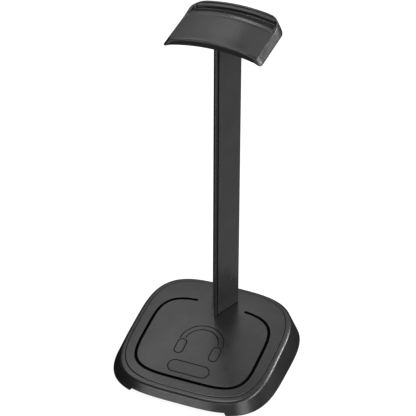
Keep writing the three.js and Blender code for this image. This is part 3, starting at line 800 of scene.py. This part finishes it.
def column_front_cover():
    inner_front = NOSE_Y + NOSE_SOLID
    thin = across_side(COLUMN_WALL)
    corner = 0.12 * MM
    panel_half = column_half(PANEL_FRONT)
    groove_half = BEAD_HALF + BEAD_GROOVE
    outline = rounded([
        (COLUMN_BACK_HALF, COLUMN_BACK_Y, 0.5 * MM),
        (column_half(COLUMN_BACK_Y) - thin, COLUMN_BACK_Y, corner),
        (column_half(inner_front) - thin, inner_front, corner),
        (-column_half(inner_front) + thin, inner_front, corner),
        (-column_half(COLUMN_BACK_Y) + thin, COLUMN_BACK_Y, corner),
        (-COLUMN_BACK_HALF, COLUMN_BACK_Y, 0.5 * MM),
        (-panel_half, PANEL_FRONT, 0.08 * MM),
        (-groove_half, BEAD_FOOT, 0.06 * MM),
        (-BEAD_HALF, BEAD_FOOT, 0.06 * MM),
        (-BEAD_HALF, NOSE_TIP, BEAD_CORNER),
        (BEAD_HALF, NOSE_TIP, BEAD_CORNER),
        (BEAD_HALF, BEAD_FOOT, 0.06 * MM),
        (groove_half, BEAD_FOOT, 0.06 * MM),
        (panel_half, PANEL_FRONT, 0.08 * MM),
    ])
    edge = 0.05 * MM
    heights = np.linspace(0, 1, 25)
    build = Build()

    def ring(shift, share, lift):
        flat = inset(outline, shift)
        low = column_low(flat[:, 1])
        high = arch_height(flat[:, 0]) - GAP
        return space(flat, low + (high - low) * share + lift)

    build.rings([ring(edge, 0, 0), ring(edge * 0.3, 0, edge * 0.3), ring(0, 0, edge),
                 *[ring(0, share, 0) for share in heights[1:-1]],
                 ring(0, 1, -edge), ring(edge, 1, 0)])
    ends = inset(outline, edge)
    build.panel(ends, lambda flat, depth: space(flat, column_low(flat[:, 1])))
    build.panel(ends, lambda flat, depth: space(flat, arch_height(flat[:, 0]) - GAP))
    finished("column_front", build, [shell_plastic], "column_front_cover")


def column_back_cover():
    low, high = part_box("column_back_cover")
    half = high.x
    thickness = high.y - low.y
    across = np.linspace(half, -half, 13)
    outline = rounded([(half, column_low(COLUMN_BACK_Y), 0.4 * MM),
                       *[(x, z, 0) for x, z in zip(across, arch_height(across) - GAP)],
                       (-half, column_low(COLUMN_BACK_Y), 0.4 * MM)])
    outline = spaced(outline, 0.5 * MM)
    features = []
    for i in range(1, 4):
        middle = centre_of(f"back_screw_{i}")
        features.append(pocket(circle(middle.x, middle.z, SCREW_POCKET), SCREW_POCKET_DEPTH))

    def place(flat, height):
        narrow = 1 - (thickness - height) * WEDGE / half
        return np.column_stack([flat[:, 0] * narrow, high.y - thickness + height, flat[:, 1]])

    build = slab(outline, place, thickness, features, edge=0.3 * MM, fill_step=6 * MM)
    finished("column_back", build, [shell_plastic], "column_back_cover")


# ------------------------------------------------------------------ saddle
def softened(rows, rounds=2):
    """The same polyline with its corners cut away, again and again."""
    rows = np.array(rows, float)
    for _ in range(rounds):
        cut = np.empty((2 * len(rows) - 2, rows.shape[1]))
        cut[0::2] = rows[:-1] * 0.75 + rows[1:] * 0.25
        cut[1::2] = rows[:-1] * 0.25 + rows[1:] * 0.75
        rows = np.vstack([rows[:1], cut, rows[-1:]])
    return rows


def saddle_half(y, by=0.0):
    """Half the width of the saddle's plan, drawn in from its edge, at a depth y."""
    radius = SADDLE_CORNER - by
    into = np.maximum(0, y - (SADDLE_BACK - SADDLE_CORNER))
    return SADDLE_HALF - SADDLE_CORNER + np.sqrt(np.maximum(0, radius ** 2 - into ** 2))


# Rows from the front to the back, in millimetres: depth behind the front edge of the underside,
# height of the edge as a share of the full thickness, and relief inside the border.
SADDLE_ROWS = [
    (-1.1, 0.60, 0), (-1.06, 0.78, 0), (-0.8, 0.88, 0), (-0.2, 0.93, 0), (0.8, 0.95, 0),
    (2.4, 0.95, -0.02), (5.5, 0.95, -0.12), (10, 0.95, -0.25), (17, 0.95, -0.3),
    (24, 0.95, -0.3), (30, 0.95, -0.3), (32.8, 0.95, -0.35), (33.8, 0.95, -0.62),
    (34.5, 0.96, -0.35), (35.4, 0.97, 0.3), (36.0, 0.98, 0.5), (36.8, 0.99, 0.1),
    (38.6, 1, -1.5), (44.4, 1, -3.2), (45.6, 1, -3.3), (46.1, 1, -2.2), (46.4, 1, -1.15),
    (46.7, 1, -0.95), (48.6, 1, -0.9), (49.1, 1, -0.2), (49.4, 1, 0.3), (50.8, 1, 0.4),
    (51.4, 0.97, 0.1), (51.7, 0.80, 0),
]
# Columns from an end inwards, in millimetres: distance, height share, share of the panel's
# shallow relief and share of the channel's and the ridge's relief.
SADDLE_END = [
    (0, 0.06, 0, 0), (0.1, 0.1, 0, 0), (0.4, 0.2, 0, 0), (1.5, 0.5, 0, 0), (2.6, 0.81, 0, 0),
    (3.2, 0.98, 0, 0), (3.3, 1, 0, 0), (3.36, 1, 0.02, 0), (3.6, 1, 0.35, 0),
    (3.9, 1, 0.95, 0.02), (4.4, 1, 1, 0.06), (5.0, 1, 1, 0.25), (5.6, 1, 1, 0.9),
    (6.2, 1, 1, 1), (7.0, 1, 1, 1),
]
CHANNEL_FROM = 33.5  # the rows between which the ridge and the channel lie
CHANNEL_TO = 45.0
UNDERCUT = 1.1 * MM  # how far the crest of the front face hangs over its foot
CREST_INSET = 3.3 * MM
CREST_CORNER = 2.4 * MM
FOOT_CORNER = 2.4 * MM
FRONT_BLEND = 7 * MM  # depth over which the rows straighten behind the front edge
END_TAPER = 0.2  # share by which the plate is thinner at its ends
# Near its ends the front face turns into the slope of the ends.
WRAP_FOOT = 5.2 * MM
WRAP_CREST = 10.6 * MM
WRAP_FORWARD = 0.9 * MM
WRAP_BACK = 0.8 * MM


def smooth(value, start, stop):
    t = np.clip((value - start) / (stop - start), 0, 1)
    return t * t * (3 - 2 * t)


def corner_rise(x, half, radius):
    """How far a front edge curves back at x, towards a rounded corner at half."""
    into = np.clip(np.abs(x) - (half - radius), 0, radius)
    return radius - np.sqrt(radius ** 2 - into ** 2)


def front_line(x, share):
    """The front face's depth at x, at a share of the way from its foot to its crest."""
    start = WRAP_FOOT + (WRAP_CREST - WRAP_FOOT) * share
    wrapped = np.clip((start - SADDLE_HALF + np.abs(x)) / (start - FOOT_CORNER), 0, 1)
    return (SADDLE_FRONT - UNDERCUT * share
            + wrapped * (WRAP_BACK * share - WRAP_FORWARD * (1 - share))
            + corner_rise(x, SADDLE_HALF - CREST_INSET * share,
                          FOOT_CORNER + (CREST_CORNER - FOOT_CORNER) * share))


def saddle_top():
    rows = softened(SADDLE_ROWS)
    ends = softened(SADDLE_END)
    middle = 60
    side = np.concatenate([-np.ones(len(ends)), np.zeros(middle), np.ones(len(ends))])
    drawn = np.concatenate([ends[:, 0], np.zeros(middle), ends[::-1, 0]]) * MM
    share = np.concatenate([ends[:, 1], np.ones(middle), ends[::-1, 1]])
    panel_relief = np.concatenate([ends[:, 2], np.ones(middle), ends[::-1, 2]])
    channel_relief = np.concatenate([ends[:, 3], np.ones(middle), ends[::-1, 3]])
    along = np.concatenate([np.zeros(len(ends)), 2 * (np.arange(middle) + 1) / (middle + 1) - 1,
                            np.zeros(len(ends))])
    innermost = ends[-1, 0] * MM

    def grid(top):
        lines = []
        for depth, edge, relief in rows:
            y = SADDLE_FRONT + depth * MM
            half = saddle_half(y)
            x = np.where(side != 0, side * (half - drawn), along * (half - innermost))
            lift = share * edge if top else 0 * share
            straight = smooth(depth * MM + UNDERCUT, 0, FRONT_BLEND)
            ys = y + (front_line(x, lift) - SADDLE_FRONT + UNDERCUT) * (1 - straight)
            to_channel = smooth(depth, CHANNEL_FROM - 3, CHANNEL_FROM)
            inner = panel_relief + (channel_relief - panel_relief) * to_channel
            before_channel = 1 - smooth(depth, CHANNEL_FROM, CHANNEL_TO)
            taper = 1 - END_TAPER * (x / SADDLE_HALF) ** 2 * before_channel
            z = (arch_height(x) + SADDLE_THICK * lift * taper
                 + (relief * MM * inner if top else 0))
            lines.append(np.column_stack([x, ys, z]))
        return np.array(lines)

    build = Build()
    top, bottom = grid(True), grid(False)
    recess = saddle_recess()
    count_rows, count_columns = top.shape[:2]

    def index(r, c):
        return r * count_columns + c

    quads = [(index(r, c), index(r, c + 1), index(r + 1, c + 1), index(r + 1, c))
             for r in range(count_rows - 1) for c in range(count_columns - 1)]
    build.add(top.reshape(-1, 3), quads)
    border = np.vstack([bottom[0], bottom[1:, -1], bottom[-1, -2::-1], bottom[-2:0:-1, 0]])
    crown = np.vstack([top[0], top[1:, -1], top[-1, -2::-1], top[-2:0:-1, 0]])
    faces = []
    for way in (1, 0.8, 0.6, 0.4, 0.2, 0):
        ring = border + (crown - border) * way
        ring[:count_columns, 1] = front_line(ring[:count_columns, 0], share * rows[0, 1] * way)
        faces.append(ring)
    build.rings(faces)
    # underside: a flat border round a recess, which holds the under cover
    outer_flat = border[:, :2]
    deep = [(-0.15 * MM, 0), (0, 0.15 * MM), (0.02 * MM, RECESS_DEPTH - 0.2 * MM),
            (0.2 * MM, RECESS_DEPTH)]
    feature = {"lines": [(inset(recess, shift), -depth) for shift, depth in deep],
               "path": recess, "clear": 0.4 * MM, "floor": -RECESS_DEPTH}
    build.panel(outer_flat, lambda flat, depth: space(flat, arch_height(flat[:, 0]) - depth),
                [feature], fill_points(outer_flat, 3 * MM))
    finished("saddle_shell", build, [shell_plastic], "saddle_top")


def saddle_recess(by=0.0):
    """The outline of the recess under the saddle, drawn in by a clearance."""
    front, back = SADDLE_FRONT + RECESS_INSET + by, SADDLE_BACK - RECESS_INSET - by
    half, corner = SADDLE_HALF - RECESS_INSET - by, SADDLE_CORNER - RECESS_INSET - by
    front_corner = 1.2 * MM
    return spaced(rounded([(half, front, front_corner), (half, back, corner),
                           (-half, back, corner), (-half, front, front_corner)], 16), 0.8 * MM)


def on_arch(base_height):
    return lambda flat, height: space(flat, arch_height(flat[:, 0]) + base_height - height)


def saddle_under_cover():
    thickness = RECESS_DEPTH - GAP
    low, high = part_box("saddle_bracket")
    hole = rounded([(high.x + GAP, low.y - GAP, 0.8 * MM), (high.x + GAP, high.y + GAP, 0.8 * MM),
                    (low.x - GAP, high.y + GAP, 0.8 * MM), (low.x - GAP, low.y - GAP, 0.8 * MM)])
    outline = saddle_recess(GAP)
    line = spaced(inset(outline, 2.4 * MM), 0.8 * MM)
    build = slab(outline, on_arch(thickness), thickness, [groove(line, LINE_SECTION, True)],
                 [spaced(hole, 0.5 * MM)], edge=0.25 * MM, fill_step=2.6 * MM)
    finished("saddle_underside", build, [inner_plastic], "saddle_under_cover")


def saddle_bracket():
    low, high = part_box("saddle_bracket")
    thickness = RECESS_DEPTH - GAP
    outline = spaced(rounded([(high.x, low.y, MM), (high.x, high.y, MM), (low.x, high.y, MM),
                              (low.x, low.y, MM)]), 0.8 * MM)
    holes = [circle(*tuple(centre_of(f"saddle_screw_{i}"))[:2], 1.5 * MM, 32) for i in (1, 2)]
    build = slab(outline, on_arch(thickness), thickness, holes=holes, edge=0.3 * MM,
                 fill_step=2 * MM)
    finished("saddle_bracket_plate", build, [plated_steel], "saddle_bracket")


base_cover()
bottom_plate()
rubber_feet()
column_front_cover()
column_back_cover()
saddle_top()
saddle_under_cover()
saddle_bracket()
for i in range(1, 5):
    screw(f"bottom_screw_{i}", "-Z", 0.7 * MM)
    screw(f"flange_screw_{i}", "-Z", 1.7 * MM)
for i in range(1, 4):
    screw(f"back_screw_{i}", "+Y", 0.7 * MM)
for i in range(1, 3):
    screw(f"saddle_screw_{i}", "-Z", 1.6 * MM)

# The steel inside keeps its CAD shape.
for name in ("ballast_plate", "column_foot_flange", "column_core"):
    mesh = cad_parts[name].data
    mesh.materials.clear()
    mesh.materials.append(plated_steel)


# ------------------------------------------------------------------ camera
# Most of these come from a least-squares camera fit, which is why they keep so many digits.
CAMERA_AZIMUTH = math.radians(21.40)
CAMERA_ELEVATION = math.radians(37.68)
CAMERA_ROLL = math.radians(0.148)
CAMERA_DISTANCE = 1.6191
CAMERA_TARGET = Vector((0, 0.0005, 0.14113))
CAMERA_LENS = 191.68


def towards(azimuth, elevation):
    """The unit vector from the stand to a place round it. Azimuth 0 is in front of it."""
    return Vector((math.sin(azimuth) * math.cos(elevation),
                   -math.cos(azimuth) * math.cos(elevation), math.sin(elevation)))


def add_camera():
    data = bpy.data.cameras.new("camera")
    data.lens = CAMERA_LENS
    data.clip_end = 100
    camera = bpy.data.objects.new("camera", data)
    bpy.context.scene.collection.objects.link(camera)
    back = towards(CAMERA_AZIMUTH, CAMERA_ELEVATION)
    right = (-back).cross(Vector((0, 0, 1))).normalized()
    up = back.cross(right)
    turned_right = right * math.cos(CAMERA_ROLL) + up * math.sin(CAMERA_ROLL)
    turned_up = up * math.cos(CAMERA_ROLL) - right * math.sin(CAMERA_ROLL)
    place = Matrix((turned_right, turned_up, back)).transposed().to_4x4()
    place.translation = CAMERA_TARGET + back * CAMERA_DISTANCE
    camera.matrix_world = place
    bpy.context.scene.camera = camera


# ------------------------------------------------------------------ floor and light
def add_floor():
    mesh = bpy.data.meshes.new("floor")
    half = 12.0
    mesh.from_pydata([(-half, -half, 0), (half, -half, 0), (half, half, 0), (-half, half, 0)],
                     [], [(0, 1, 2, 3)])
    floor = bpy.data.objects.new("floor", mesh)
    bpy.context.scene.collection.objects.link(floor)
    material, _, shader = new_material("floor", (0.2, 0.2, 0.2), 0.9)
    shader.inputs["Emission Color"].default_value = (1, 1, 1, 1)
    shader.inputs["Emission Strength"].default_value = 0.92
    shader.inputs["Specular IOR Level"].default_value = 0
    mesh.materials.append(material)
    floor.visible_diffuse = False
    floor.visible_glossy = False
    floor.visible_shadow = False


LIGHT_DISTANCE = 1.6
SOFTBOX = 0.8  # side of a plain square softbox
WORLD_STRENGTH = 0.008

# Softboxes round the stand: azimuth and elevation in degrees, width, height and power in watts.
# Most of the powers, and the strength of the world, come from a least-squares fit, not from
# choices by hand. Places and sizes were set one by one.
SOFTBOXES = {
    "overhead_back": (207, 50, SOFTBOX, SOFTBOX, 3.1),
    "overhead_left_back": (240, 50, SOFTBOX, SOFTBOX, 2.1),
    "overhead_right_back": (165, 45, SOFTBOX, SOFTBOX, 1.9),
    "zenith": (0, 88, SOFTBOX, SOFTBOX, 5.5),
    "ridge_spot": (-25, 77, 0.35, 0.35, 4.0),
    "low_back": (207, 28, SOFTBOX, SOFTBOX, 1.2),
    "right": (90, 20, SOFTBOX, SOFTBOX, 15.0),
    "right_back_low": (125, 0, 0.5, 0.5, 2.8),
    "right_back_high": (140, 40, 0.6, 0.6, 3.0),
    "right_below": (111, -38, SOFTBOX, SOFTBOX, 1.2),
    "rim_strip": (129, 17, 0.3, 0.25, 14.0),
    "front_right": (55, 5, SOFTBOX, SOFTBOX, 9.2),
    "front": (-17, 0, SOFTBOX, SOFTBOX, 7.5),
    "front_high": (15, 12, SOFTBOX, SOFTBOX, 3.5),
    "left_high": (-90, 60, SOFTBOX, SOFTBOX, 4.5),
    "nose_strip": (-20, -31, 0.4, 0.4, 1.4),
}


def area_light(name, azimuth, elevation, width, height, power):
    """A softbox that faces the stand."""
    data = bpy.data.lights.new(name, "AREA")
    data.shape = "RECTANGLE"
    data.size, data.size_y = width, height
    data.energy = power
    light = bpy.data.objects.new(name, data)
    bpy.context.scene.collection.objects.link(light)
    way = towards(math.radians(azimuth), math.radians(elevation))
    light.location = CAMERA_TARGET + way * LIGHT_DISTANCE
    light.rotation_mode = "QUATERNION"
    light.rotation_quaternion = way.to_track_quat("Z", "Y")
    light.visible_camera = False


def add_light():
    world = bpy.data.worlds.new("studio")
    bpy.context.scene.world = world
    world.use_nodes = True
    world.node_tree.nodes["Background"].inputs["Color"].default_value = (1, 1, 1, 1)
    world.node_tree.nodes["Background"].inputs["Strength"].default_value = WORLD_STRENGTH
    for name, setting in SOFTBOXES.items():
        area_light(name, *setting)


add_camera()
add_floor()
add_light()
bpy.context.scene.view_settings.view_transform = "Standard"
